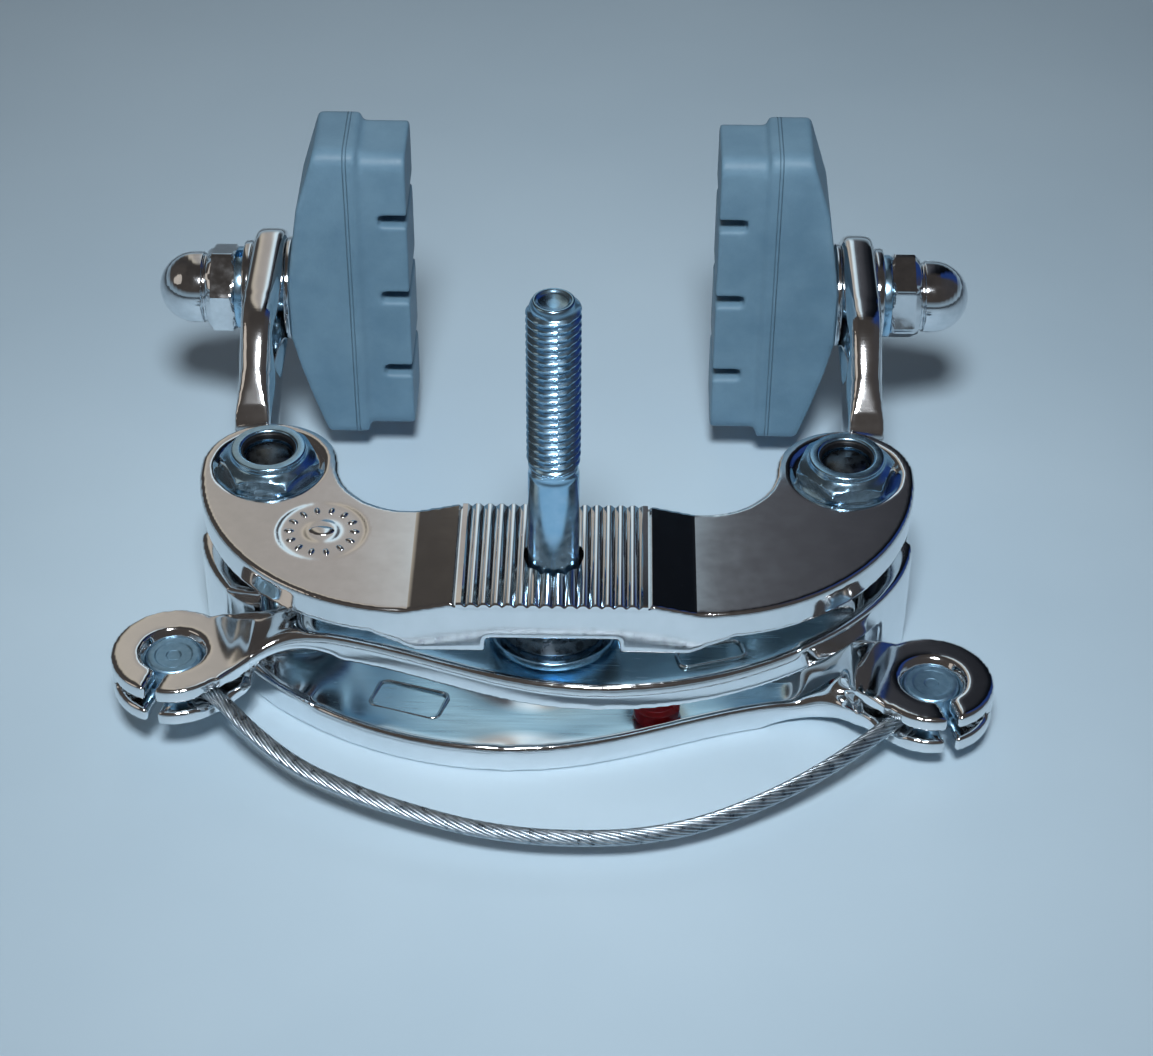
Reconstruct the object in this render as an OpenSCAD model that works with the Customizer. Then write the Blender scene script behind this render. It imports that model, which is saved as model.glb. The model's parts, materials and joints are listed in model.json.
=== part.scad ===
// Centre-pull brake caliper for a bicycle, millimetres.
// The mounting bolt stands on +Z, the shoes lie on +Y and the cable eyes on -Y.
// The origin is on the bolt's axis, at the tops of the bridge's serrations.
// The cranked arms take most care: plan outline, side profile, trough, boss, leg and eye.

/* [Bridge] */
// Half the distance between the two pivots
pivot_x = 33.8; // [32.5:0.1:35.5]
// Distance of the pivots behind the mounting bolt
pivot_y = 17.2; // [16.5:0.1:18]
// Radius of the round lobe at each pivot
lobe_r = 8.1; // [7.8:0.1:8.6]
// Distance of the front edge of the bridge from the bolt
bridge_front = 8.7; // [8.2:0.1:9.4]
// Distance of the rear edge of the bridge from the bolt
bridge_rear = 9.1; // [8.6:0.1:9.6]
// Thickness of the bridge at its lobes
lobe_t = 3.6; // [3.2:0.1:4]
// Height of the serrated pad above the lobes
pad_rise = 1.2; // [0.8:0.1:1.6]
// Half width of the serrated pad
pad_half = 10.6; // [10:0.1:12]
// Number of grooves across the serrated pad
groove_count = 15; // [11:1:17]
// Depth of the thick middle of the bridge under the mounting face
middle_depth = 7; // [6.4:0.1:7.4]
// Width of the arch that takes the bolt's washer
arch_w = 14.8; // [14.4:0.1:16]
// Diameter of the round blank seal pressed in the left lobe
seal_d = 10.6; // [8:0.1:11]

/* [Mounting bolt] */
// Diameter of the mounting bolt
bolt_d = 5.95; // [5.9:0.01:6]
// Length of the bolt above the mounting face
bolt_out = 34.6; // [28:0.1:42]
// Diameter of the hole for it in the bridge
bolt_hole_d = 6.8; // [6.4:0.1:7.2]
// Diameter of the bolt's head
head_d = 15; // [13:0.1:15.4]

/* [Pivots] */
// Diameter of the shoulder that the arm turns on
shoulder_d = 8; // [7.6:0.1:8.2]
// Radial running clearance on the shoulder
run_gap = 0.04; // [0.02:0.01:0.08]
// Height of the room for the return spring
spring_room = 4.8; // [4.6:0.1:5.2]
// Width across the flats of the pivot nut
pivot_nut_af = 10.4; // [10:0.1:11]
// Height of the pivot nut
pivot_nut_h = 2.9; // [2.6:0.1:3.4]
// Diameter of the return spring's wire
spring_wire = 1.9; // [1.7:0.05:1.95]

/* [Arms] */
// Height of an arm's rim
arm_t = 3.7; // [3.4:0.1:4]
// Thickness of the web at the bottom of the trough
web_t = 1.5; // [1.2:0.1:1.6]
// Width of the rim along the front edge
rim_w = 1.4; // [1.1:0.1:1.8]
// Distance from the top of the upper arm to the top of the lower arm
arm_step = 9.7; // [9.4:0.1:10.2]
// Half the distance between the two cable eyes
eye_x = 43.4; // [42.6:0.1:44.4]
// Distance of the eyes in front of the bolt
eye_y = 3.7; // [3.2:0.1:4.2]
// Diameter of a cable eye
eye_d = 14.3; // [13.8:0.1:14.8]
// Thickness of a cable eye
eye_t = 5.3; // [5:0.1:5.8]
// Thickness of the slotted leg
leg_t = 4.3; // [3.8:0.1:4.5]
// Height of the slotted leg
leg_h = 14; // [13:0.1:15]
// Width of the slot in the leg
slot_w = 6.4; // [6.2:0.1:7]
// Length of travel that the slot gives the shoe
slot_travel = 13; // [10:0.5:14]

/* [Shoes] */
// Distance of the shoe's stud behind the mounting bolt
stud_y = 52; // [51:0.1:52.5]
// Diameter of the shoe's stud
stud_d = 5.9; // [5.6:0.05:6]
// Length of the pad along the rim
pad_len = 40.6; // [38:0.1:46]
// Height of the pad's braking face
pad_h = 10.6; // [9:0.1:12]
// Thickness of the braking block
block_t = 5.9; // [5:0.1:7]
// Thickness of the pad's back at the stud
back_t = 9.3; // [8:0.1:9.6]
// Distance by which the stud sits below the pad's middle
stud_off = 2.2; // [0:0.1:4]

/* [Cable] */
// Diameter of the straddle cable
cable_d = 1.9; // [1.5:0.1:2]
// Diameter of the cable's nipples
nipple_d = 6.3; // [6:0.1:6.6]

/* [Hidden] */
$fn = 64;

// Heights, downwards from the mounting face
lobe_z = -pad_rise;
under_z = lobe_z - lobe_t;
arm_z = under_z - spring_room;
low_z = arm_z - arm_step;
floor_z = low_z - arm_t;
arch_z = -5.2;
upper_eye_z = arm_z - 2.4;
lower_eye_z = low_z + 4.7;
head_low_z = arm_z - arm_t + web_t + 0.35;
head_t = 1.5;

// Plan of the bridge
big_r = pivot_y + bridge_front;
big_x = pivot_x + lobe_r - big_r;
rear_h = pivot_y - bridge_rear;
throat_x = 16.9;
throat_r = (pow(pivot_x - throat_x, 2) + pow(rear_h, 2) - pow(lobe_r, 2)) / (2 * (lobe_r + rear_h));
ramp_x = pad_half + 5.4;
peg_r = 1.5;
peg_along = 13.6;

// Pivot parts, each height from the last
boss_r = lobe_r;
nut_seat_r = 6.5;
nut_z = lobe_z - 0.4;
boss_room = arm_z - floor_z;
head_seat = 4.6;
bush_gap = 0.15;
bush_wall = 1;
bush_r = shoulder_d / 2 + run_gap + bush_wall;
play = 0.1;
cap_r = 5.5;
cap_h = 3.2;
washer_r = 5.6;
washer_t = 0.9;
thread_d = 5.9;
coil_r = shoulder_d / 2 + 2.2;
coil_start = -72;
coil_turns = 1.38;
coil_rise = (spring_room - spring_wire - 0.2) / coil_turns;
leg_dir = [cos(coil_start + 90), sin(coil_start + 90)];
leg_foot = [pivot_x, pivot_y] + coil_r * [cos(coil_start), sin(coil_start)];
peg = leg_foot - peg_along * leg_dir + (peg_r + spring_wire / 2 + 0.08) * [leg_dir[1], -leg_dir[0]];

// Floor left under a nipple in its eye, and how far its top lies below the eye's top
eye_floor = 0.8;
nipple_sink = 0.7;
lip_gap = cable_d + 0.2;

// Place of the red button on the lower arm
button = [12, -3];

// Leg and shoe, outwards from the middle plane
leg_in = pivot_x + 1.1;
leg_out = leg_in + leg_t;
leg_end = stud_y + 1.2;
seat_t = 0.6;
back_x = leg_in - seat_t;
face_x = back_x - back_t - block_t;
flat_t = 1.1;
lock_t = 1;
nut_x = leg_out + flat_t + lock_t;
nut_hex = 3.7;
nut_len = 10;
nut_af = 10;
stud_hole_r = stud_d / 2 + 0.06;
stud_head_r = 4.4;
head_x = back_x - 6;

// Cable route through the air, chosen by eye from the left eye to the right eye
left_eye = [-eye_x, -eye_y, upper_eye_z - eye_t / 2];
right_eye = [eye_x, -eye_y, lower_eye_z - eye_t / 2];
cable_mid = [
  [-33, -13.6, -15.8], [-28, -17.2, -17], [-22, -20.1, -17.8], [-16, -22.3, -18.4],
  [-8, -24.4, -19], [0, -25.2, -19.4], [9, -24.9, -19.4], [16.5, -23, -19.3],
  [24, -19.5, -18.8], [31, -15, -18.1]
];
exit_l = -43;
exit_r = 225;

// A point on a cubic curve through control points c
function bez(c, t) = pow(1 - t, 3) * c[0] + 3 * t * pow(1 - t, 2) * c[1]
  + 3 * t * t * (1 - t) * c[2] + pow(t, 3) * c[3];
// The unit normal to its left
function bez_n(c, t) =
  let (d = bez(c, t + 0.001) - bez(c, t - 0.001))
  [-d[1], d[0]] / norm(d);
// Points along the curve from t0 to t1, moved sideways by off
function run(c, n, off = 0, t0 = 0, t1 = 1) =
  [for (i = [0:n]) let (t = t0 + (t1 - t0) * i / n) bez(c, t) + off * bez_n(c, t)];
// Points on an arc
function arc(p, r, a0, a1, n) =
  [for (i = [0:n]) let (a = a0 + (a1 - a0) * i / n) p + r * [cos(a), sin(a)]];
// Outline of a box with rounded corners
function soft_box(y0, z0, y1, z1, r) =
  concat(arc([y1 - r, z1 - r], r, 0, 90, 6), arc([y0 + r, z1 - r], r, 90, 180, 6),
    arc([y0 + r, z0 + r], r, 180, 270, 6), arc([y1 - r, z0 + r], r, 270, 360, 6));
// A smooth course through points: four-point blend between neighbours
function blend4(a, b, c, d, t) = 0.5 * (2 * b + (c - a) * t
  + (2 * a - 5 * b + 4 * c - d) * t * t + (3 * b - a - 3 * c + d) * t * t * t);
function course(p, n) =
  let (m = len(p) - 1)
  [for (i = [0:m - 1], k = [0:n - 1])
     blend4(p[max(i - 1, 0)], p[i], p[i + 1], p[min(i + 2, m)], k / n), p[m]];
function unit(v) = v / norm(v);
function tangent(p, i) = unit(p[min(i + 1, len(p) - 1)] - p[max(i - 1, 0)]);

// Solid of a round rod of diameter d swept along the points p
module rod(p, d, sides = 10) {
  n = len(p);
  ring = [for (i = [0:n - 1], k = [0:sides - 1])
    let (t = tangent(p, i), s = unit(cross(t, [0.01, 0.02, 1])), u = cross(s, t),
         a = 360 * k / sides)
    p[i] + d / 2 * (cos(a) * s + sin(a) * u)];
  side = [for (i = [0:n - 2], k = [0:sides - 1])
    let (j = (k + 1) % sides)
    [i * sides + k, i * sides + j, (i + 1) * sides + j, (i + 1) * sides + k]];
  lid = [[for (k = [sides - 1:-1:0]) k], [for (k = [0:sides - 1]) (n - 1) * sides + k]];
  polyhedron(points = ring, faces = concat(side, lid), convexity = 6);
}

// Round part about Z from a half section of [radius, height] points
module turned(section) {
  rotate_extrude() polygon(section);
}

// Ring about Z
module ring(r_out, r_in, z0, h) {
  translate([0, 0, z0]) difference() {
    cylinder(r = r_out, h = h);
    translate([0, 0, -1]) cylinder(r = r_in, h = h + 2);
  }
}

// The same thing on the left or the right of the middle plane; children are drawn on the right
module on(side) {
  if (side < 0) mirror([1, 0, 0]) children();
  else children();
}

// Plan of the right half of the bridge
module bridge_half() {
  difference() {
    union() {
      translate([-0.01, -bridge_front]) square([big_x + 0.01, bridge_front + bridge_rear]);
      intersection() {
        translate([big_x, pivot_y]) circle(r = big_r, $fn = 160);
        translate([big_x - 0.01, -bridge_front]) square([big_r + 1, big_r]);
      }
      translate([pivot_x, pivot_y]) circle(r = lobe_r);
    }
    translate([throat_x, bridge_rear + throat_r]) circle(r = throat_r, $fn = 96);
    translate([0, bridge_rear]) square([throat_x, 20]);
  }
}

// Side profile of the bridge: raised pad above, thick middle with its arch below
module bridge_side() {
  edge = pivot_x + lobe_r + 1;
  difference() {
    polygon([[-edge, lobe_z], [-ramp_x, lobe_z], [-pad_half, 0], [pad_half, 0],
      [ramp_x, lobe_z], [edge, lobe_z], [edge, under_z], [ramp_x + 4.4, under_z],
      [ramp_x - 0.6, -middle_depth], [-ramp_x + 0.6, -middle_depth], [-ramp_x - 4.4, under_z],
      [-edge, under_z]]);
    translate([-arch_w / 2, -middle_depth - 1]) square([arch_w, middle_depth + 1 + arch_z]);
  }
}

module bridge() {
  groove = 2 * pad_half / (groove_count + 0.5);
  color("gainsboro") difference() {
    union() {
      intersection() {
        translate([0, 0, -middle_depth - 1]) linear_extrude(middle_depth + 2) {
          bridge_half();
          mirror([1, 0]) bridge_half();
        }
        translate([0, 30, 0]) rotate([90, 0, 0]) linear_extrude(60) bridge_side();
      }
      for (s = [-1, 1]) translate([s * peg[0], peg[1], under_z - 2.8]) cylinder(r = peg_r, h = 3.4);
    }
    for (i = [0:groove_count - 1])
      translate([(i - (groove_count - 1) / 2) * groove, 20, 0]) rotate([90, 0, 0])
        linear_extrude(40) polygon([[-groove * 0.34, 0.1], [groove * 0.34, 0.1], [0, -0.55]]);
    translate([0, 0, -middle_depth - 1]) cylinder(d = bolt_hole_d, h = middle_depth + 2);
    for (s = [-1, 1]) translate([s * pivot_x, pivot_y, under_z - 1])
      cylinder(d = thread_d + 0.2, h = lobe_t + 2);
    for (s = [-1, 1]) translate([s * pivot_x, pivot_y, nut_z]) cylinder(r = nut_seat_r, h = 4);
    translate([-26.6, 5, lobe_z - 0.25]) difference() {
      cylinder(d = seal_d, h = 1);
      translate([0, 0, -1]) cylinder(d = seal_d * 0.34, h = 1.2);
    }
  }
}

// Bolt from the front: domed head, plain shank, rolled thread above a small neck
module mounting_bolt() {
  r = bolt_d / 2;
  neck = 12.6;
  color("lightsteelblue") difference() {
    turned([[0, head_low_z], [head_d / 2 - 0.6, head_low_z], [head_d / 2, head_low_z + 0.5],
      [head_d / 2, head_low_z + head_t], [r, head_low_z + head_t], [r, neck - 0.8],
      [r - 0.2, neck - 0.3], [r - 0.2, neck], [r, neck + 0.3], [r, bolt_out - 0.9],
      [r - 0.8, bolt_out], [0, bolt_out]]);
    translate([0, 0, bolt_out + 6.6]) sphere(r = 7);
  }
}

// Thick washer under the head, waisted, filling the arch of the bridge
module mounting_washer() {
  low = head_low_z + head_t;
  color("slategray") difference() {
    turned([[0, low], [6.2, low], [6.6, low + 0.5], [6.2, low + 2], [6.2, arch_z - 1.4],
      [7, arch_z - 0.8], [7, arch_z], [0, arch_z]]);
    translate([0, 0, low - 1]) cylinder(d = bolt_d + 0.2, h = 20);
  }
}

// Shoulder bolt: thread through bridge and nut, turned shoulder, socket head sunk in the boss
module pivot_bolt() {
  r = thread_d / 2;
  top = nut_z + pivot_nut_h - 0.9;
  shoulder_low = floor_z + head_seat - washer_t - play;
  translate([pivot_x, pivot_y, 0]) color("dimgray") difference() {
    turned([[0, shoulder_low - cap_h], [cap_r - 0.4, shoulder_low - cap_h],
      [cap_r, shoulder_low - cap_h + 0.4], [cap_r, shoulder_low], [shoulder_d / 2, shoulder_low],
      [shoulder_d / 2, under_z], [r, under_z], [r, top - 0.7], [r - 0.8, top], [0, top]]);
    translate([0, 0, shoulder_low - cap_h - 1]) cylinder(d = 4.62, h = 3.2, $fn = 6);
  }
}

// Low locknut with a rolled collar over its insert
module pivot_nut() {
  r = pivot_nut_af / 2;
  c = 8.9 / 2;
  hex = pivot_nut_h - 0.8;
  translate([pivot_x, pivot_y, nut_z]) color("lightsteelblue") difference() {
    union() {
      intersection() {
        rotate([0, 0, 4]) cylinder(r = r / cos(30), h = hex, $fn = 6);
        turned([[0, 0], [r + 0.2, 0], [r + 0.7, 0.35], [r + 0.7, hex - 0.9], [r - 0.6, hex], [0, hex]]);
      }
      turned([[0, 0], [c, 0], [c, pivot_nut_h - 0.3], [c - 0.4, pivot_nut_h], [0, pivot_nut_h]]);
    }
    translate([0, 0, -1]) cylinder(d = thread_d + 0.1, h = 10);
    translate([0, 0, hex - 0.3]) cylinder(r = 3.75, h = 0.8);
    translate([0, 0, hex]) cylinder(r = 3.25, h = 5);
  }
}

// Black ring that grips the thread
module nut_insert() {
  hex = pivot_nut_h - 0.8;
  translate([pivot_x, pivot_y, nut_z]) color("black")
    ring(3.72, thread_d / 2 + 0.03, hex - 0.29, 0.78);
}

// Plastic sleeve that keeps the spring round the shoulder
module spring_bush() {
  translate([pivot_x, pivot_y, 0]) color("dimgray")
    ring(shoulder_d / 2 + 0.9, shoulder_d / 2 + 0.05, arm_z + 0.15, spring_room - 0.15);
}

// Torsion spring: upper leg on the bridge's peg, coils, lower leg on the arm's leg
module spring() {
  z_top = under_z - 0.1 - spring_wire / 2;
  a1 = coil_start - 360 * coil_turns;
  steps = 34;
  coil = [for (i = [0:steps]) let (a = coil_start + (a1 - coil_start) * i / steps)
    [pivot_x + coil_r * cos(a), pivot_y + coil_r * sin(a), z_top - coil_rise * coil_turns * i / steps]];
  upper = (peg_along + 1.6) * [leg_dir[0], leg_dir[1], 0];
  reach = (leg_in - spring_wire / 2 - 0.1 - coil[steps][0]) / sin(a1);
  lower = reach * [sin(a1), -cos(a1), 0];
  color("lightgray") rod(concat([coil[0] - upper], coil, [coil[steps] + lower]), spring_wire, 8);
}

// Washer under the pivot bolt's head
module thrust_washer() {
  translate([pivot_x, pivot_y, 0]) color("silver")
    ring(washer_r, shoulder_d / 2 + 0.05, floor_z + head_seat - washer_t - play / 2, washer_t);
}

// Bronze sleeve pressed in the arm
module pivot_bush() {
  z0 = floor_z + head_seat + bush_gap;
  translate([pivot_x, pivot_y, 0]) color("peru")
    ring(bush_r, shoulder_d / 2 + run_gap, z0, arm_z - bush_gap - z0);
}

// Front and rear edges of an arm in plan, drawn for the arm that pivots on the right
front_a = [[pivot_x + 8.4, pivot_y - 2.7], [pivot_x + 7.7, 2.5], [24, -11.6], [5, -11.5]];
front_b = [[5, -11.5], [-8, -11.4], [-16, -4.6], [-29, -3]];
front_c = [[-29, -3], [-32.5, -2.6], [-35, -5.8], [5.6 - eye_x, -eye_y - 5]];
rear_a = [[4 - eye_x, -eye_y + 6.4], [-34, 3.4], [-20, 5.6], [-4, 1.2]];
rear_b = [[-4, 1.2], [8, -2.2], [20, 6], [pivot_x - 8, pivot_y]];

module arm_plan() {
  polygon(concat(run(front_a, 26), run(front_b, 24), run(front_c, 12), run(rear_a, 14),
    run(rear_b, 24), [[pivot_x, pivot_y + 4]]));
  translate([pivot_x, pivot_y]) circle(r = boss_r);
  translate([-eye_x, -eye_y]) circle(d = eye_d);
}

// Trough in the top of an arm, open at the rear, with a rim along the front
module trough_plan() {
  difference() {
    polygon(concat(run(front_a, 20, -rim_w, 0.35, 1), run(front_b, 22, -rim_w, 0.06),
      [[-30, 12], [pivot_x + 2, 12]]));
    translate([pivot_x, pivot_y]) circle(r = boss_r + 2);
  }
}

// Side profile of an arm from x and z: its top z0 and the top z1 of its eye
module arm_side(z0, z1) {
  edge = pivot_x + lobe_r + 8;
  low = z0 - arm_t;
  eye_low = z1 - eye_t;
  polygon([[edge, z0], [-28, z0], [-30.5, z0 + 0.2 * (z1 - z0)], [-34.5, z0 + 0.9 * (z1 - z0)],
    [-36.5, z1], [-edge - 6, z1], [-edge - 6, eye_low], [-37.5, eye_low],
    [-35.5, low + 0.9 * (eye_low - low)], [-31.5, low + 0.15 * (eye_low - low)], [-29.5, low],
    [edge, low]]);
}

// Slotted leg seen from the side: rises from the boss to the level of the mounting face
module leg_side() {
  h = leg_h / 2;
  upper = [[pivot_y + lobe_r + 0.5, arm_z], [31.5, arm_z], [34, h], [41, h]];
  lower = [[42, -h], [34, -h], [31, floor_z], [22, floor_z]];
  difference() {
    polygon(concat([[pivot_y, arm_z]], run(upper, 18), arc([leg_end, 0], h, 90, -90, 20),
      run(lower, 18), [[pivot_y, floor_z]]));
    slot_side();
  }
}

// The slot's own outline
module slot_side() {
  translate([leg_end, 0]) circle(d = slot_w);
  translate([leg_end - slot_travel - 1, 0]) circle(d = slot_w);
  translate([leg_end - slot_travel - 1, -slot_w / 2]) square([slot_travel + 1, slot_w]);
}

// Cable eye: seat for the nipple, entry slot, and the gap between its two lips
module eye_cuts(z1) {
  translate([-eye_x, -eye_y, 0]) {
    translate([0, 0, z1 - eye_t + eye_floor]) cylinder(d = nipple_d + 0.1, h = eye_t);
    translate([0, 0, z1 - nipple_sink]) cylinder(d = nipple_d + 1.1, h = 2);
    rotate([0, 0, 254]) translate([0, -0.95, z1 - eye_t - 1]) cube([eye_d, 1.9, eye_t + 2]);
    translate([0, 0, z1 - eye_t / 2 - lip_gap / 2]) rotate([0, 0, 200])
      rotate_extrude(angle = 170) square([eye_d, lip_gap]);
  }
}

module arm(z0, z1) {
  color("gainsboro") difference() {
    union() {
      intersection() {
        translate([0, 0, floor_z - 1]) linear_extrude(40) arm_plan();
        translate([0, 40, 0]) rotate([90, 0, 0]) linear_extrude(80) arm_side(z0, z1);
      }
      translate([pivot_x, pivot_y, floor_z]) cylinder(r = boss_r, h = boss_room);
      intersection() {
        translate([0, 0, floor_z]) linear_extrude(boss_room) intersection() {
          arm_plan();
          translate([pivot_x, pivot_y]) circle(r = 13.5);
          translate([pivot_x, pivot_y - 30]) square([30, 30]);
        }
      }
      translate([leg_in, 0, 0]) rotate([90, 0, 90]) linear_extrude(leg_t) leg_side();
    }
    translate([0, 0, z0 - arm_t + web_t]) linear_extrude(arm_t - web_t + 0.01) intersection() {
      trough_plan();
      translate([-28.5, -20]) square([80, 60]);
    }
    translate([pivot_x, pivot_y, 0]) {
      translate([0, 0, floor_z - 1]) cylinder(r = bush_r + 0.01, h = 40);
      translate([0, 0, floor_z - 1]) cylinder(r = washer_r + 0.3, h = head_seat + 1);
    }
    eye_cuts(z1);
  }
}

module right_arm() {
  arm(arm_z, upper_eye_z);
}

// The lower arm has a small hole that holds the button's stem
module left_arm() {
  difference() {
    on(-1) arm(low_z, lower_eye_z);
    translate([button[0], button[1], floor_z - 1]) cylinder(r = 1.5, h = 10);
  }
}

// Red plastic button in the lower arm's trough
module red_button() {
  web_z = floor_z + web_t;
  translate([button[0], button[1], 0]) color("crimson") turned([[0, floor_z + 0.2], [1.48, floor_z + 0.2],
    [1.48, web_z], [2.7, web_z], [2.7, web_z + 1.9], [2.2, web_z + 2.5], [0, web_z + 2.5]]);
}

// Barrel nipple with the hole that holds the cable's end
module nipple(eye, turn) {
  up = eye_t / 2 - eye_floor - 0.05;
  h = up + eye_t / 2 - nipple_sink;
  translate([eye[0], eye[1], eye[2] - up]) color("lightsteelblue") difference() {
    turned([[0, 0], [nipple_d / 2 - 0.3, 0], [nipple_d / 2, 0.3], [nipple_d / 2, h - 0.3],
      [nipple_d / 2 - 0.3, h], [0, h]]);
    translate([0, 0, up]) rotate([0, 0, turn]) translate([0.4, 0, 0]) rotate([0, 90, 0])
      cylinder(d = cable_d + 0.12, h = nipple_d, $fn = 32);
  }
}

module straddle_cable() {
  out_l = [cos(exit_l), sin(exit_l), 0];
  out_r = [cos(exit_r), sin(exit_r), 0];
  p = concat([left_eye + 0.8 * out_l, left_eye + 4.5 * out_l, left_eye + 8.4 * out_l + [0, 0, -0.1]],
    cable_mid, [right_eye + 8.4 * out_r + [0, 0, -0.1], right_eye + 4.5 * out_r, right_eye + 0.8 * out_r]);
  color("slategray") rod(course(p, 2), cable_d, 8);
}

// Parts on the shoe's stud, drawn along +X from the middle plane
module on_stud() {
  translate([0, stud_y, 0]) rotate([0, 90, 0]) children();
}

module inner_washer() {
  color("silver") on_stud() ring(6.5, stud_hole_r + 0.1, back_x, seat_t);
}

module outer_washer() {
  color("silver") on_stud() ring(6, stud_hole_r + 0.1, leg_out, flat_t);
}

// Split ring, cut through on one side
module lock_washer() {
  color("lightsteelblue") on_stud() difference() {
    ring(5.2, stud_hole_r, leg_out + flat_t, lock_t);
    translate([-0.4, 2, leg_out + flat_t - 1]) cube([0.8, 5, lock_t + 2]);
  }
}

// Domed hexagon nut
module cap_nut() {
  r = nut_af / 2;
  color("silver") on_stud() difference() {
    union() {
      intersection() {
        translate([0, 0, nut_x]) cylinder(r = r / cos(30), h = nut_hex, $fn = 6);
        turned([[0, nut_x], [r + 0.1, nut_x], [r + 0.6, nut_x + 0.4], [r + 0.6, nut_x + nut_hex - 0.8],
          [r - 0.5, nut_x + nut_hex], [0, nut_x + nut_hex]]);
      }
      translate([0, 0, nut_x + 1]) cylinder(r = r - 0.5, h = nut_len - 1 - r + 0.5);
      translate([0, 0, nut_x + nut_len - r + 0.5]) sphere(r = r - 0.5);
    }
    translate([0, 0, nut_x - 1]) cylinder(r = stud_hole_r, h = nut_len - 2);
  }
}

// Threaded stud with a flat head moulded in the pad
module stud() {
  r = stud_d / 2;
  color("silver") on_stud() turned([[0, head_x], [stud_head_r, head_x], [stud_head_r, head_x + 2],
    [r, head_x + 2], [r, nut_x + nut_len - 4], [0, nut_x + nut_len - 4]]);
}

// Pad: braking block with three cross grooves, boat-shaped back moulded round the stud
module pad() {
  low = stud_off - pad_len / 2;
  high = stud_off + pad_len / 2;
  split = face_x + block_t;
  near = stud_y - pad_h / 2;
  far = stud_y + pad_h / 2;
  color("#5c7d92") difference() {
    union() {
      translate([face_x, 0, 0]) rotate([90, 0, 90]) linear_extrude(block_t)
        polygon(soft_box(near, low, far, high, 2));
      intersection() {
        translate([0, far + 1, 0]) rotate([90, 0, 0]) linear_extrude(pad_h + 2)
          polygon([[split - 0.01, low - 2], [split + 4.8, low - 2], [split + 6.9, -13.5],
            [split + 8.3, -8.5], [back_x, -4], [back_x, 4], [back_x - 0.6, 8.5],
            [split + 7.7, 15], [split + 4.8, high + 2], [split - 0.01, high + 2]]);
        translate([split - 1, 0, 0]) rotate([90, 0, 90]) linear_extrude(back_t + 2)
          polygon(soft_box(near - 0.6, low - 1.1, far + 0.6, high + 0.8, 2));
      }
    }
    for (g = [-11.2, 0, 11.2]) translate([face_x - 1, stud_y - pad_h, g + 2.3 - 0.75])
      cube([4.6, 2 * pad_h, 1.5]);
    on_stud() turned([[0, head_x - 0.02], [stud_head_r + 0.02, head_x - 0.02],
      [stud_head_r + 0.02, head_x + 2.02], [stud_d / 2 + 0.02, head_x + 2.02],
      [stud_d / 2 + 0.02, back_x + 1], [0, back_x + 1]]);
  }
}

bridge();
mounting_bolt();
mounting_washer();
on(-1) pivot_bolt();  // left_pivot_bolt
on(1) pivot_bolt();  // right_pivot_bolt
on(-1) pivot_nut();  // left_pivot_nut
on(1) pivot_nut();  // right_pivot_nut
on(-1) nut_insert();  // left_nut_insert
on(1) nut_insert();  // right_nut_insert
on(-1) spring_bush();  // left_spring_bush
on(1) spring_bush();  // right_spring_bush
on(-1) spring();  // left_spring
on(1) spring();  // right_spring
on(-1) thrust_washer();  // left_thrust_washer
on(1) thrust_washer();  // right_thrust_washer
left_arm();
right_arm();
on(-1) pivot_bush();  // left_pivot_bush
on(1) pivot_bush();  // right_pivot_bush
red_button();
nipple(left_eye, exit_l);  // left_nipple
nipple(right_eye, exit_r);  // right_nipple
straddle_cable();
on(-1) inner_washer();  // left_inner_washer
on(1) inner_washer();  // right_inner_washer
on(-1) outer_washer();  // left_outer_washer
on(1) outer_washer();  // right_outer_washer
on(-1) stud();  // left_stud
on(1) stud();  // right_stud
on(-1) pad();  // left_pad
on(1) pad();  // right_pad
on(-1) lock_washer();  // left_lock_washer
on(1) lock_washer();  // right_lock_washer
on(-1) cap_nut();  // left_cap_nut
on(1) cap_nut();  // right_cap_nut
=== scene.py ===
# %% [markdown]
# A centre-pull bicycle brake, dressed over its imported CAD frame.
# The frame gives every solid in metres, with the mounting bolt on +Z and the shoes on +Y.
# This lesson turns those exact solids into polished, plated and moulded pieces, one step at a time.

# %% Load the frame
import json
import math
import bmesh
import bpy
import numpy as np
from mathutils import Matrix, Vector


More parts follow.
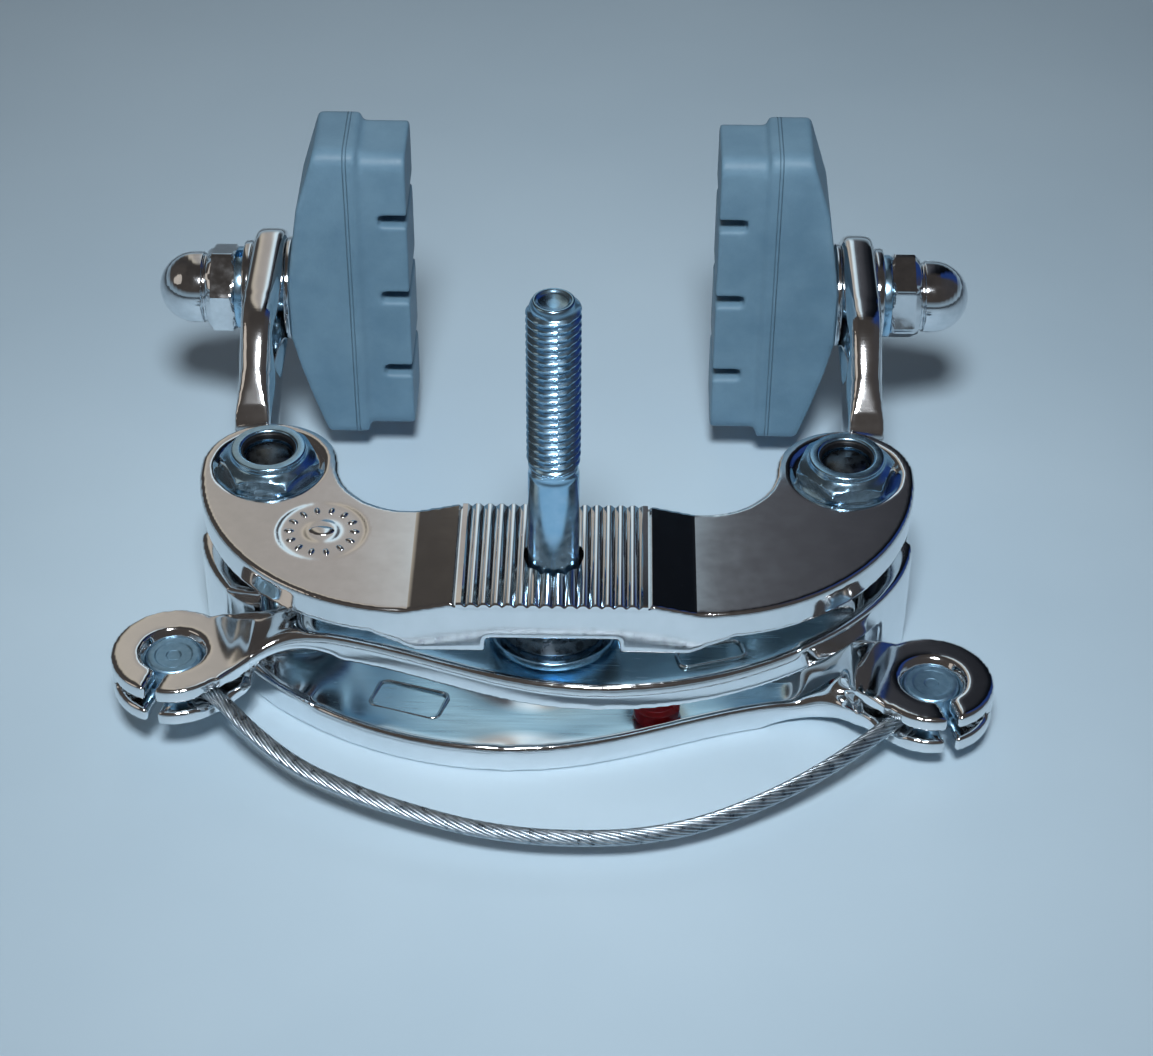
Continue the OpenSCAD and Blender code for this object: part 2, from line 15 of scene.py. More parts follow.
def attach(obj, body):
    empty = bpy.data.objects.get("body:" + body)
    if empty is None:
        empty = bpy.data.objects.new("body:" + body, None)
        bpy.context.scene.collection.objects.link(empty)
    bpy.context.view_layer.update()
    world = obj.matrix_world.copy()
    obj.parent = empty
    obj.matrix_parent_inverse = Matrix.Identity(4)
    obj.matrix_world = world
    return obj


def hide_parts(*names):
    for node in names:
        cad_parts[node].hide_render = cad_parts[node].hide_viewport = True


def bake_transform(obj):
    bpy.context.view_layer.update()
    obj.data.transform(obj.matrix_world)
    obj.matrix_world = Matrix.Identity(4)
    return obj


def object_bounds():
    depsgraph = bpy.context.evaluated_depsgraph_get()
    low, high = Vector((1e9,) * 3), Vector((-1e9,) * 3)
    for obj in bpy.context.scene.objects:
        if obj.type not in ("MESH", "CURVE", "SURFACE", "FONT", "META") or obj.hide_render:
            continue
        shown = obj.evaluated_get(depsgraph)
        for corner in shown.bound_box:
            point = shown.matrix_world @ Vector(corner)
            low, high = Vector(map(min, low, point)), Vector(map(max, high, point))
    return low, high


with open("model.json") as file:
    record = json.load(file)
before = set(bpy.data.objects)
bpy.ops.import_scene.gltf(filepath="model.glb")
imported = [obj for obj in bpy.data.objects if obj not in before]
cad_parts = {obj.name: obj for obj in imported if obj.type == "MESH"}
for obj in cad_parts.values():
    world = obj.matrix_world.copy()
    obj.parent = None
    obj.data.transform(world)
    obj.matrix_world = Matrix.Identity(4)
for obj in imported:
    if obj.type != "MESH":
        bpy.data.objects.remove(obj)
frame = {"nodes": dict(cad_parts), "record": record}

cad_low, cad_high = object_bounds()
MM = 0.001
print("CAD box, mm:", [round((b - a) / MM, 1) for a, b in zip(cad_low, cad_high)])

# %% [markdown]
# The camera looks down on the brake from the cable's side, at about 39 degrees.
# A photograph taken from 0.3 m has strong perspective, so the lens is set from the focal
# length in pixels, and the position from a point on the middle plane and a distance.

# %% Camera
FRAME_W, FRAME_H = 1153, 1056
focal_px, azimuth, elevation, roll = 2704.0, 0.77, 39.382, 0.343
look_at = Vector((2.474, 4.672, 0)) * MM
distance = 307.1 * MM


def view_axes(az, el, turn):
    a, e, r = (math.radians(v) for v in (az, el, turn))
    back = Vector((math.sin(a) * math.cos(e), -math.cos(a) * math.cos(e), math.sin(e)))
    right = Vector((math.cos(a), math.sin(a), 0))
    up = back.cross(right)
    return math.cos(r) * right + math.sin(r) * up, math.cos(r) * up - math.sin(r) * right, back


right, up, back = view_axes(azimuth, elevation, roll)
lens = bpy.data.cameras.new("camera")
lens.sensor_width = 36.0
lens.lens = 36.0 * focal_px / FRAME_W
lens.clip_start, lens.clip_end = 0.01, 20.0
camera = bpy.data.objects.new("camera", lens)
bpy.context.scene.collection.objects.link(camera)
camera.matrix_world = Matrix((right, up, back)).transposed().to_4x4()
camera.location = look_at + back * distance
bpy.context.scene.camera = camera
print("lens, mm:", round(lens.lens, 1), "camera at, mm:", [round(v / MM) for v in camera.location])

# %% [markdown]
# Colours are written as they look on a screen and turned to linear light by one function.
# One more function adds a shader node with its settings and its links, so that every
# material below reads as a short list of what the surface is made of.

# %% Colour and node helpers
def srgb(code):
    parts = [int(code[i:i + 2], 16) / 255 for i in (1, 3, 5)]
    return [v / 12.92 if v <= 0.04045 else ((v + 0.055) / 1.055) ** 2.4 for v in parts] + [1.0]


def add(tree, kind, links=None, **settings):
    node = tree.nodes.new("ShaderNode" + kind)
    for name, value in settings.items():
        if hasattr(node, name):
            setattr(node, name, value)
        else:
            node.inputs[name.replace("_", " ")].default_value = value
    for socket, source in (links or {}).items():
        tree.links.new(source, node.inputs[socket])
    return node


def new_material(name, **settings):
    material = bpy.data.materials.new(name)
    material.use_nodes = True
    shader = material.node_tree.nodes["Principled BSDF"]
    for socket, value in settings.items():
        shader.inputs[socket.replace("_", " ")].default_value = value
    place = add(material.node_tree, "TexCoord").outputs["Object"]
    return material, material.node_tree, shader, place


def speckle(tree, place, size_mm, detail=2.0, stretch=(1, 1, 1), roughness=0.5):
    # Noise whose grain is about size_mm wide, stretched along the axes where stretch is below 1
    scaled = add(tree, "Mapping", {"Vector": place}, Scale=stretch).outputs["Vector"]
    return add(tree, "TexNoise", {"Vector": scaled}, Scale=1 / (size_mm * MM),
               Detail=detail, Roughness=roughness).outputs["Fac"]


def spread(tree, value, low, high, start=0.3, stop=0.7):
    # Noise between start and stop becomes a number between low and high
    return add(tree, "MapRange", {"Value": value}, From_Min=start, From_Max=stop,
               To_Min=low, To_Max=high).outputs["Result"]


def tint(tree, value, one, two, start=0.3, stop=0.7):
    # Noise between start and stop becomes a colour between one and two
    ramp = add(tree, "ValToRGB", {"Fac": value})
    ramp.color_ramp.elements[0].position, ramp.color_ramp.elements[1].position = start, stop
    ramp.color_ramp.elements[0].color, ramp.color_ramp.elements[1].color = srgb(one), srgb(two)
    return ramp.outputs["Color"]


def relief(tree, shader, height, depth_mm, strength=1.0, below=None):
    links = {"Height": height}
    if below is not None:
        links["Normal"] = below
    bump = add(tree, "Bump", links, Strength=strength, Distance=depth_mm * MM)
    tree.links.new(bump.outputs["Normal"], shader.inputs["Normal"])
    return bump.outputs["Normal"]


def band(tree, place, axis, middle_mm, half_mm, soft_mm=0.1):
    # 1 where the distance from zero along an axis is within half_mm of middle_mm, else 0
    along = add(tree, "SeparateXYZ", {"Vector": place}).outputs[axis]
    size = add(tree, "Math", {0: along}, operation="ABSOLUTE").outputs["Value"]
    away = add(tree, "Math", {0: size}, operation="SUBTRACT")
    away.inputs[1].default_value = middle_mm * MM
    off = add(tree, "Math", {0: away.outputs["Value"]}, operation="ABSOLUTE").outputs["Value"]
    return spread(tree, off, 1.0, 0.0, half_mm * MM, (half_mm + soft_mm) * MM)


# %% [markdown]
# The bridge and both arms are forged aluminium, ground and buffed to a mirror.
# Buffing never gives an optically flat face, so the mirror gets a faint waviness a few
# millimetres long, hairline polishing marks, and a haze where fingers have been.
# A buffing wheel doesn't reach into the arms' troughs, so their floors stay satin. There the
# base colour is also pale blue: a painted reflection of the table.

# %% Mirror-polished forged aluminium
polished, tree, shader, place = new_material(
    "mirror-polished forged aluminium", Metallic=1.0, Roughness=0.08)
buffed = speckle(tree, place, 9.0, detail=1.0)
haze = speckle(tree, place, 2.5, detail=5.0, roughness=0.6)
marks = speckle(tree, place, 0.35, detail=3.0, stretch=(0.05, 1, 1))
facing = add(tree, "SeparateXYZ", {"Vector": add(tree, "TexCoord").outputs["Normal"]})
upward = spread(tree, facing.outputs["Z"], 0.0, 1.0, 0.75, 0.95)
floors = add(tree, "Math", {0: band(tree, place, "Z", 11.8, 0.3, 0.3),
                            1: band(tree, place, "Z", 21.5, 0.3, 0.3)}, operation="MAXIMUM")
troughs = add(tree, "Math", {0: floors.outputs["Value"], 1: band(tree, place, "X", 0, 31, 2)},
              operation="MULTIPLY")
satin_and_painted_reflection = add(tree, "Math", {0: troughs.outputs["Value"], 1: upward}, operation="MULTIPLY")
# Trough floors get satin roughness and a pale blue base colour (#BFE0F0); the blue is a painted
# reflection of the table
base_colour_with_painted_reflection = add(tree, "Mix", {0: satin_and_painted_reflection.outputs["Value"], 6: tint(tree, haze, "#E7EAEC", "#EEF0F2")},
           data_type="RGBA")
base_colour_with_painted_reflection.inputs[7].default_value = srgb("#BFE0F0")
tree.links.new(base_colour_with_painted_reflection.outputs[2], shader.inputs["Base Color"])
rough = add(tree, "Mix", {0: satin_and_painted_reflection.outputs["Value"], 2: spread(tree, haze, 0.07, 0.1),
                          3: spread(tree, marks, 0.2, 0.28)})
tree.links.new(rough.outputs[0], shader.inputs["Roughness"])
wavy = relief(tree, shader, buffed, 0.022)
relief(tree, shader, marks, 0.0016, below=wavy)

# %% [markdown]
# The mounting bolt, pivot nuts and cable nipples are steel with a bright zinc plating.
# Zinc passivated in blue keeps a cool tint, and it is greyer and duller than chrome,
# with soft blotches where the bath dried.

# %% Zinc-plated steel
zinc, tree, shader, place = new_material("blue-passivated zinc on steel", Metallic=1.0)
blotch = speckle(tree, place, 1.1, detail=5.0)
grain = speckle(tree, place, 0.12, detail=2.0)
tree.links.new(tint(tree, blotch, "#9CC6E2", "#B0D4EC"), shader.inputs["Base Color"])
tree.links.new(spread(tree, blotch, 0.16, 0.26), shader.inputs["Roughness"])
relief(tree, shader, grain, 0.002)

tumbled, tree, shader, place = new_material("tumbled zinc on steel", Metallic=1.0)
blotch = speckle(tree, place, 0.7, detail=5.0)
tree.links.new(tint(tree, blotch, "#8CB8D6", "#A2CBE6"), shader.inputs["Base Color"])
tree.links.new(spread(tree, blotch, 0.34, 0.46), shader.inputs["Roughness"])
relief(tree, shader, speckle(tree, place, 0.2), 0.008)

# %% [markdown]
# Cap nuts and washers are chromed: a hard mirror over nickel, with a slightly warm dark side.

# %% Chrome-plated steel
chrome, tree, shader, place = new_material("chrome-plated steel", Metallic=1.0)
film = speckle(tree, place, 1.2, detail=4.0)
tree.links.new(tint(tree, film, "#D3D9DE", "#E6EAEE"), shader.inputs["Base Color"])
tree.links.new(spread(tree, film, 0.04, 0.12), shader.inputs["Roughness"])
relief(tree, shader, speckle(tree, place, 2.0, detail=1.0), 0.008)

# %% [markdown]
# The pivot bolts are hardened steel with a thin dark plating, the springs are drawn wire.
# Drawing leaves fine lines along a wire; on a coil their direction turns all the time,
# so a short grain without direction stands for them.

# %% Dark plated steel, spring wire and wire rope
dark_steel, tree, shader, place = new_material("dark-plated hardened steel", Metallic=1.0)
patch = speckle(tree, place, 1.0, detail=4.0)
tree.links.new(tint(tree, patch, "#4A535B", "#6B757D"), shader.inputs["Base Color"])
tree.links.new(spread(tree, patch, 0.2, 0.38), shader.inputs["Roughness"])
relief(tree, shader, speckle(tree, place, 0.15), 0.003)

wire, tree, shader, place = new_material("drawn spring wire", Metallic=1.0)
drawn = speckle(tree, place, 0.5, detail=4.0)
tree.links.new(tint(tree, drawn, "#A9B2B9", "#CCD3D8"), shader.inputs["Base Color"])
tree.links.new(spread(tree, drawn, 0.16, 0.3), shader.inputs["Roughness"])
relief(tree, shader, speckle(tree, place, 0.1), 0.003)

rope, tree, shader, place = new_material("galvanised wire rope", Metallic=1.0)
dust = speckle(tree, place, 0.9, detail=4.0)
tree.links.new(tint(tree, dust, "#8C98A1", "#BCC7CF"), shader.inputs["Base Color"])
tree.links.new(spread(tree, dust, 0.24, 0.42), shader.inputs["Roughness"])

bronze, tree, shader, place = new_material("sintered bronze", Metallic=1.0)
pores = speckle(tree, place, 0.25, detail=3.0)
tree.links.new(tint(tree, pores, "#8A6A3E", "#B08D5A"), shader.inputs["Base Color"])
tree.links.new(spread(tree, pores, 0.3, 0.5), shader.inputs["Roughness"])
relief(tree, shader, pores, 0.02)

# %% [markdown]
# The brake blocks are moulded rubber, blue grey and matt. A mould leaves a faint orange
# peel, and handling leaves paler, smoother patches and a little dust in the hollows.

# %% Moulded rubber
rubber, tree, shader, place = new_material(
    "moulded blue-grey rubber", IOR=1.5, Specular_IOR_Level=0.35)
cloud = speckle(tree, place, 7.0, detail=5.0, roughness=0.6)
peel = speckle(tree, place, 0.45, detail=3.0)
tree.links.new(tint(tree, cloud, "#5F8197", "#7193A8"), shader.inputs["Base Color"])
tree.links.new(spread(tree, cloud, 0.42, 0.58), shader.inputs["Roughness"])
seam = relief(tree, shader, band(tree, place, "X", 26.4, 0.12, 0.16), 0.22)
relief(tree, shader, peel, 0.03, below=seam)

# %% [markdown]
# The nuts' locking rings and the spring sleeves are black nylon, and the button is red ABS.

# %% Nylon and ABS
nylon, tree, shader, place = new_material("black moulded nylon", IOR=1.53)
skin = speckle(tree, place, 0.3, detail=3.0)
tree.links.new(tint(tree, skin, "#101113", "#1B1C1F"), shader.inputs["Base Color"])
tree.links.new(spread(tree, skin, 0.28, 0.45), shader.inputs["Roughness"])
relief(tree, shader, skin, 0.01)

red_abs, tree, shader, place = new_material("red moulded ABS", IOR=1.54)
flow = speckle(tree, place, 1.5, detail=3.0)
tree.links.new(tint(tree, flow, "#A3141C", "#B81E25"), shader.inputs["Base Color"])
tree.links.new(spread(tree, flow, 0.16, 0.3), shader.inputs["Roughness"])
relief(tree, shader, flow, 0.01)
print("materials:", len(bpy.data.materials))

# %% [markdown]
# Pieces are meshes in the frame's own coordinates. Smooth shading with sharp edges kept
# by angle shows a turned or milled surface with few faces.

# %% Mesh helpers
def piece(name, verts, faces, material, body, angle=35, stands_for=()):
    mesh = bpy.data.meshes.new(name)
    mesh.from_pydata([tuple(v) for v in verts], [], [tuple(f) for f in faces])
    mesh.validate()
    return settle(bpy.data.objects.new(name, mesh), material, body, angle, stands_for)


def settle(obj, material, body, angle=35, stands_for=()):
    if not obj.users_collection:
        bpy.context.scene.collection.objects.link(obj)
    work = bmesh.new()
    work.from_mesh(obj.data)
    bmesh.ops.remove_doubles(work, verts=work.verts, dist=1e-7)
    bmesh.ops.recalc_face_normals(work, faces=work.faces)
    work.to_mesh(obj.data)
    work.free()
    obj.data.shade_smooth()
    obj.data.set_sharp_from_angle(angle=math.radians(angle))
    obj.data.materials.clear()
    obj.data.materials.append(material)
    if body:
        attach(obj, body)
    if stands_for:
        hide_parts(*stands_for)
    return obj


def grid_faces(rows, cols, closed=True):
    last = cols if closed else cols - 1
    return [(i * cols + j, i * cols + (j + 1) % cols, (i + 1) * cols + (j + 1) % cols,
             (i + 1) * cols + j) for i in range(rows - 1) for j in range(last)]


def eased(points, reach, steps=3):
    # Rounds each inner corner of an open line: a short curve takes its place
    out = [np.array(points[0], float)]
    for a, b, c in zip(points, points[1:], points[2:]):
        a, b, c = (np.array(p, float) for p in (a, b, c))
        cut = min(reach, 0.45 * np.linalg.norm(b - a), 0.45 * np.linalg.norm(c - b))
        p = b + (a - b) / np.linalg.norm(a - b) * cut
        q = b + (c - b) / np.linalg.norm(c - b) * cut
        out += [(1 - t) ** 2 * p + 2 * t * (1 - t) * b + t * t * q
                for t in np.linspace(0, 1, steps + 1)]
    return out + [np.array(points[-1], float)]


def turned(name, section, place, material, body, flats=None, turn=0.0, sides=96,
           reach=0.12, stands_for=(), mirror=1, closed=False):
    # Revolves a section of (radius, height) points in mm; flats is the width across a hexagon,
    # and a negative radius is half the width across the flats of a hexagon socket
    section = list(section) + ([section[0]] if closed else [])
    line = eased(section, reach) if reach else [np.array(p, float) for p in section]
    angles = np.linspace(0, 2 * math.pi, sides, endpoint=False)
    wedge = (angles + math.radians(30)) % math.radians(60) - math.radians(30)
    hexagon = flats / 2 / np.cos(wedge) if flats else np.full(sides, 1e9)
    verts = []
    for r, h in line:
        limit = np.minimum(r, hexagon) if r >= 0 else -r / np.cos(wedge)
        for a, radius in zip(angles + math.radians(turn), limit):
            verts.append(place @ Vector((radius * math.cos(a), radius * math.sin(a), h)))
    return piece(name, [v * MM for v in verts], grid_faces(len(line), sides), material,
                 body, stands_for=stands_for)


def at(x, y, z):
    return Matrix.Translation((x, y, z))


print("mesh helpers ready")

# %% [markdown]
# A forged and buffed piece has no sharp edge. Its CAD solid is exact but crisp, so its
# mesh is copied, filled with small cubes by a voxel remesh, and relaxed: each edge then
# turns into a small round, and inner corners into fillets, as grinding and buffing do.
# A bevel modifier would break on the many small faces where outline and bores meet.

# %% Forging helper
def relaxed(points, edges, rounds, weight=1.0):
    # Moves each point half way to the middle of its neighbours, again and again
    a, b = edges[:, 0], edges[:, 1]
    count = np.bincount(a, minlength=len(points)) + np.bincount(b, minlength=len(points))
    for _ in range(rounds):
        middle = np.stack([
            np.bincount(a, points[b, k], len(points)) + np.bincount(b, points[a, k], len(points))
            for k in range(points.shape[1])], 1) / count[:, None]
        points = points + 0.5 * np.reshape(weight, (-1, 1)) * (middle - points)
    return points


def forged(name, node, voxel_mm, rounds, soften=None, more=0, shape=None):
    source = frame["nodes"][node]
    mesh = source.data.copy()
    mesh.transform(source.matrix_world)
    mesh.transform(Matrix.Scale(1 / MM, 4))
    obj = bpy.data.objects.new(name, mesh)
    bpy.context.scene.collection.objects.link(obj)
    remesh = obj.modifiers.new("voxels", "REMESH")
    remesh.mode, remesh.voxel_size, remesh.adaptivity = "VOXEL", voxel_mm, 0.0
    bpy.context.view_layer.update()
    solid = bpy.data.meshes.new_from_object(
        obj.evaluated_get(bpy.context.evaluated_depsgraph_get()))
    obj.modifiers.clear()
    obj.data = solid
    points = np.empty(len(solid.vertices) * 3)
    solid.vertices.foreach_get("co", points)
    edges = np.empty(len(solid.edges) * 2, dtype=np.int32)
    solid.edges.foreach_get("vertices", edges)
    edges = edges.reshape(-1, 2)
    normals = np.empty(len(solid.vertices) * 3)
    solid.vertices.foreach_get("normal", normals)
    points = relaxed(points.reshape(-1, 3), edges, rounds)
    if soften:
        points = relaxed(points, edges, more, soften(points, normals.reshape(-1, 3), edges))
    if shape:
        points = shape(points)
    solid.vertices.foreach_set("co", (points * MM).ravel())
    solid.update()
    print(name, "faces:", len(solid.polygons))
    return obj


# %% [markdown]
# The bridge carries the pivots and bears on the frame with a serrated pad.
# A remesh is too coarse for serrations 1.4 mm apart. So the forging's pad is lowered a
# little, and a strip cut from one zigzag profile lies over it, with the bolt's hole
# taken out by a Boolean.

# %% Bridge and its serrations
LOBE_Z, UNDER_Z, ARM_Z, LOW_Z, FLOOR_Z = -1.2, -4.8, -9.6, -19.3, -23.0
PIVOT = (33.8, 17.2)
PAD_HALF, RAMP_X, FRONT, REAR, GROOVES = 10.6, 16.0, -8.7, 9.1, 15
SEAL = (-26.6, 5.0)
pitch = 2 * PAD_HALF / (GROOVES + 0.5)


def true_top(points):
    # Puts the relaxed top back on its three planes, with crisp creases where they meet
    x = np.abs(points[:, 0])
    height = np.clip((PAD_HALF - x) / (RAMP_X - PAD_HALF), -1, 0) * -LOBE_Z
    drop = height - points[:, 2]
    drop[np.hypot(points[:, 0] - SEAL[0], points[:, 1] - SEAL[1]) < 6] *= 0.45
    flat = drop < 0.24
    points[flat, 2] = (height - np.clip(drop - 0.04, 0, None) * 1.2)[flat]
    crease = flat & (np.abs(x - RAMP_X) < 0.15)
    points[crease, 0] = np.sign(points[crease, 0]) * RAMP_X
    under = (x < PAD_HALF + 0.2) & (points[:, 2] > -0.62)
    points[under, 2] = -0.62
    return points


bridge = forged("bridge_forging", "bridge", 0.28, 5, shape=true_top)
settle(bridge, polished, "bridge_body", 60, ["bridge"])


def serration_profile():
    line = [(-PAD_HALF, -0.05)]
    for i in range(GROOVES):
        x = (i - (GROOVES - 1) / 2) * pitch
        for dx, z in ((-0.46, -0.02), (-0.36, -0.09), (-0.1, -0.34), (0, -0.37), (0.1, -0.34),
                      (0.36, -0.09), (0.46, -0.02)):
            line.append((x + dx, z))
            if dx == 0.46:
                line.append((x + pitch / 2, 0.0))
    line[-1] = (PAD_HALF, -0.05)
    return line + [(PAD_HALF, -1.0), (-PAD_HALF, -1.0)]


outline = serration_profile()
count = len(outline)
stations = [(FRONT + 0.02, 0.2), (FRONT + 0.12, 0.06), (FRONT + 0.3, 0.0), (REAR - 0.3, 0.0),
            (REAR - 0.12, 0.06), (REAR - 0.02, 0.2)]
verts = [(x * MM, y * MM, (z - drop * (z > -0.9)) * MM) for y, drop in stations for x, z in outline]
faces = grid_faces(len(stations), count) + [tuple(range(count)),
                                            tuple(range((len(stations) - 1) * count, len(verts)))]
strip = piece("bridge_serrations", verts, faces, polished, None)
bpy.ops.mesh.primitive_cylinder_add(vertices=96, radius=3.4 * MM, depth=6 * MM)
drill = bpy.context.object
cut = strip.modifiers.new("bolt hole", "BOOLEAN")
cut.object, cut.operation, cut.solver = drill, "DIFFERENCE", "EXACT"
bpy.context.view_layer.update()
strip.data = bpy.data.meshes.new_from_object(
    strip.evaluated_get(bpy.context.evaluated_depsgraph_get()))
strip.modifiers.clear()
bpy.data.objects.remove(drill)
settle(strip, polished, "bridge_body", 20)
print("serration pitch, mm:", round(pitch, 2), "strip faces:", len(strip.data.polygons))

# %% [markdown]
# A round seal is stamped in the left lobe. It carries no words here: a rim, a ring of
# small studs and a centre ring, in low relief.

# %% Seal
(seal_x, seal_y), seal_z = SEAL, LOBE_Z - 0.11
verts, faces = [], []


def dome(x, y, z, rx, ry, h, turn=0.0, rings=5, around=16):
    base = len(verts)
    for i in range(rings + 1):
        k = math.cos(i / rings * math.pi / 2)
        for j in range(around):
            a = 2 * math.pi * j / around
            u, v = rx * k * math.cos(a), ry * k * math.sin(a)
            verts.append(Vector((x + u * math.cos(turn) - v * math.sin(turn),
                                 y + u * math.sin(turn) + v * math.cos(turn),
                                 z + h * math.sin(i / rings * math.pi / 2))) * MM)
    faces.extend(tuple(base + k for k in f) for f in grid_faces(rings + 1, around))


for k in range(14):
    a = 2 * math.pi * k / 14
    dome(seal_x + 3.75 * math.cos(a), seal_y + 3.75 * math.sin(a), seal_z, 0.62, 0.36, 0.2, a)
dome(seal_x, seal_y, LOBE_Z - 0.02, 1.5, 0.85, 0.18)
piece("seal_studs", verts, faces, polished, "bridge_body", 60)
turned("seal_rim", [(4.95, -0.02), (5.2, 0.1), (5.5, 0.1), (5.8, -0.02)],
       at(seal_x, seal_y, seal_z), polished, "bridge_body", reach=0.1)

# %% [markdown]
# The arms cross behind the bridge. Each is one forging: a barrel for the pivot, a leg with
# a slot for the shoe, a troughed web, and a split eye for the cable's nipple.

# %% Arms
def rounder(side, top, tilt, swells=()):
    # How much further buffing has rounded each place: leg, neck by the eye, rim, trough.
    # A trough's floor isn't flat: it leans a little, more so where the hammer left a swell.
    def weight(points, normals, edges):
        x, y, z = points[:, 0] * side, points[:, 1], points[:, 2]
        leg = 0.4 * np.clip((y - 28) / 4, 0, 1)
        neck = np.clip(1.6 - np.abs(x + 29.5) / 3.2, 0, 1)
        rim = 0.35 * np.clip((z - top + 1.4) / 0.6, 0, 1) * (np.abs(x) < 28) * (y < 9)
        floor = (normals[:, 2] > 0.6) & (np.abs(z - top + 2.2) < 0.5) & (np.abs(x) < 31)
        column = np.clip(x + 32, 0, 63).astype(int)
        middle = np.bincount(column, y * floor, 64) / np.maximum(np.bincount(column, floor, 64), 1)
        lean = np.full(len(x), tilt)
        for place, reach, amount in swells:
            lean += amount * np.exp(-((x - place) / reach) ** 2)
        points[:, 2] += floor * lean * (y - middle[column])
        dish = 0.8 * np.clip(3 * relaxed(floor[:, None] * 1.0, edges, 12)[:, 0], 0, 1)
        return np.maximum.reduce([leg, neck, rim, dish])
    return weight


def bezier(a, b, c, d):
    t = np.linspace(0, 1, 40)[:, None]
    a, b, c, d = (np.array(p, float) for p in (a, b, c, d))
    return (1 - t) ** 3 * a + 3 * t * (1 - t) ** 2 * b + 3 * t * t * (1 - t) * c + t ** 3 * d


def raised_leg(points, side):
    # Stretches the slope between the barrel and the leg's flat top upwards, with a full curve
    x, y, z = points[:, 0] * side, points[:, 1], points[:, 2]
    here = (x > 34.3) & (x < 46) & (y > 25.8) & (y < 41) & (z > FLOOR_Z)
    plain = bezier((25.8, ARM_Z), (31.5, ARM_Z), (34, 7), (41, 7))
    full = np.concatenate([[(25.8, -4.8), (27, -2.7), (28.4, -0.9)], bezier((33.6, 3.9), (35.6, 5.7), (37, 7), (40.5, 7))])
    under = bezier((22, FLOOR_Z), (31, FLOOR_Z), (34, -7), (42, -7))
    old, new, low = (np.interp(y, curve[:, 0], curve[:, 1]) for curve in (plain, full, under))
    share = np.clip((z - low) / (old - low), 0, 1)
    fade = np.clip((y - 25.8) / 0.8, 0, 1)
    points[here, 2] += ((new - old) * share * fade * fade * (3 - 2 * fade))[here]


def closed_lips(side, middle, narrow=0.72, wide=1.05, half=2.65):
    # Brings the eye's two lips together, except where the cable comes out between them,
    # and narrows the slot that the cable is put in by
    entry = math.radians(254)

    def shape(points):
        raised_leg(points, side)
        x, y, z = (points[:, 0] + EYE_X * side) * side, points[:, 1] - EYE_Y, points[:, 2] - middle
        out = x * math.cos(entry) + y * math.sin(entry)
        across = y * math.cos(entry) - x * math.sin(entry)
        slot = (out > 3.2) & (out < 9) & (np.abs(across) < 2.2) & (np.abs(z) < 3.4)
        shift = -np.sign(across) * np.clip((out - 3.2) / 0.9, 0, 1) * (2.2 - np.abs(across)) * 0.28
        points[slot, 0] -= (side * shift * math.sin(entry))[slot]
        points[slot, 1] += (shift * math.cos(entry))[slot]
        angle = np.degrees(np.arctan2(y, x))
        ease = np.clip((np.abs(angle + 44) - 12) / 8, 0, 1)
        place = (np.hypot(x, y) < 8.3) & (angle > -163) & (angle < 12)
        place &= (np.abs(z) > 0.8) & (np.abs(z) < half)
        moved = np.sign(z) * (half - (half - np.abs(z)) * (half - narrow) / (half - wide))
        points[place, 2] = middle + (z + ease * (moved - z))[place]
        return points
    return shape


EYE_X, EYE_Y = 43.4, -3.7
upper = forged("upper_arm_forging", "right_arm", 0.28, 5, rounder(1, ARM_Z, 0.05), 120,
               closed_lips(1, -14.65))
settle(upper, polished, "right_arm_body", 60, ["right_arm"])
lower = forged("lower_arm_forging", "left_arm", 0.28, 5,
               rounder(-1, LOW_Z, -0.05, [(29.5, 3, -0.2), (24.5, 2, 0.12), (3, 5, -0.15)]), 120,
               closed_lips(-1, -17.25))
settle(lower, polished, "left_arm_body", 60, ["left_arm"])

# %% [markdown]
# Each web has a small raised frame, left blank. A frame is a rounded rectangle swept with
# a low bead, laid on the web along the arm.

# %% Blank frames on the webs
def bead_frame(name, x, y, z, long, wide, turn_deg, body, bead=0.28):
    path = []
    for sx, sy, a0 in ((1, 1, 0), (-1, 1, 90), (-1, -1, 180), (1, -1, 270)):
        for a in np.radians(np.linspace(a0, a0 + 90, 6)):
            path.append((sx * (long / 2 - 0.9) + 0.9 * math.cos(a),
                         sy * (wide / 2 - 0.9) + 0.9 * math.sin(a)))
    c, s = math.cos(math.radians(turn_deg)), math.sin(math.radians(turn_deg))
    rows = []
    for u, v in path:
        k = np.array((u, v)) / np.linalg.norm((u, v))
        for a in np.radians(np.linspace(-10, 190, 8)):
            du = u + bead * math.cos(a) * k[0]
            dv = v + bead * math.cos(a) * k[1]
            rows.append(Vector((x + du * c - dv * s, y + du * s + dv * c,
                                z + bead * math.sin(a))) * MM)
    n = len(path)
    loops = [(i * 8 + j, i * 8 + j + 1, ((i + 1) % n) * 8 + j + 1, ((i + 1) % n) * 8 + j)
             for i in range(n) for j in range(7)]
    return piece(name, rows, loops, polished, body, 60)


bead_frame("lower_arm_frame", -16.9, -1.2, LOW_Z - 2.2, 8.4, 4.6, -17, "left_arm_body")
bead_frame("upper_arm_frame", 18.0, -3.2, ARM_Z - 2.2, 7.8, 2.9, 17, "right_arm_body")

# %% [markdown]
# The mounting bolt is an M6 screw from the front: domed flange head, plain shank, and a
# thread rolled with a pitch of 1 mm. A rolled thread is a true helix, so the radius of
# each point is lowered by how far it lies from the crest at its own angle.

